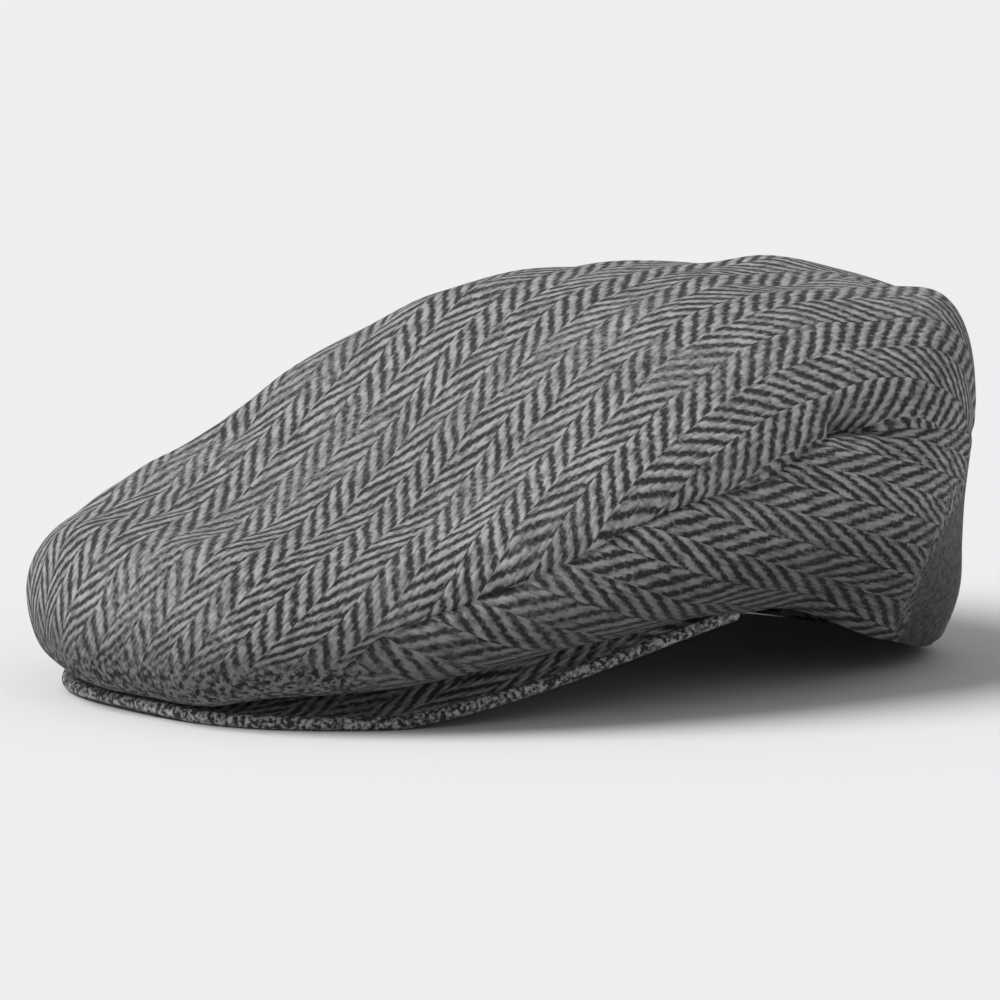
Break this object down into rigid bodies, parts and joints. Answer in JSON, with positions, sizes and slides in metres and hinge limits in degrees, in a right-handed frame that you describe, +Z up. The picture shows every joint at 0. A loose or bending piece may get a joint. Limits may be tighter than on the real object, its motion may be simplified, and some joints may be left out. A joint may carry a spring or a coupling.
{
  "type": "flat cap",
  "caption": "Flat cap of grey herringbone cloth: a low crown that slopes forward and rolls over a short stiff peak, open below for the head.",
  "frame": {"origin": "middle of the footprint, on the surface that the cap rests on", "axes": "+Z up, -Y to the front where the peak is, +X to the wearer's left"},
  "size_m": [0.2038, 0.2572, 0.1065],
  "materials": {
    "tweed": "woven wool, matte"
  },
  "bodies": {
    "root": {"crown_top": "tweed", "side_left": "tweed", "side_right": "tweed", "peak": "tweed"}
  },
  "joints": []
}
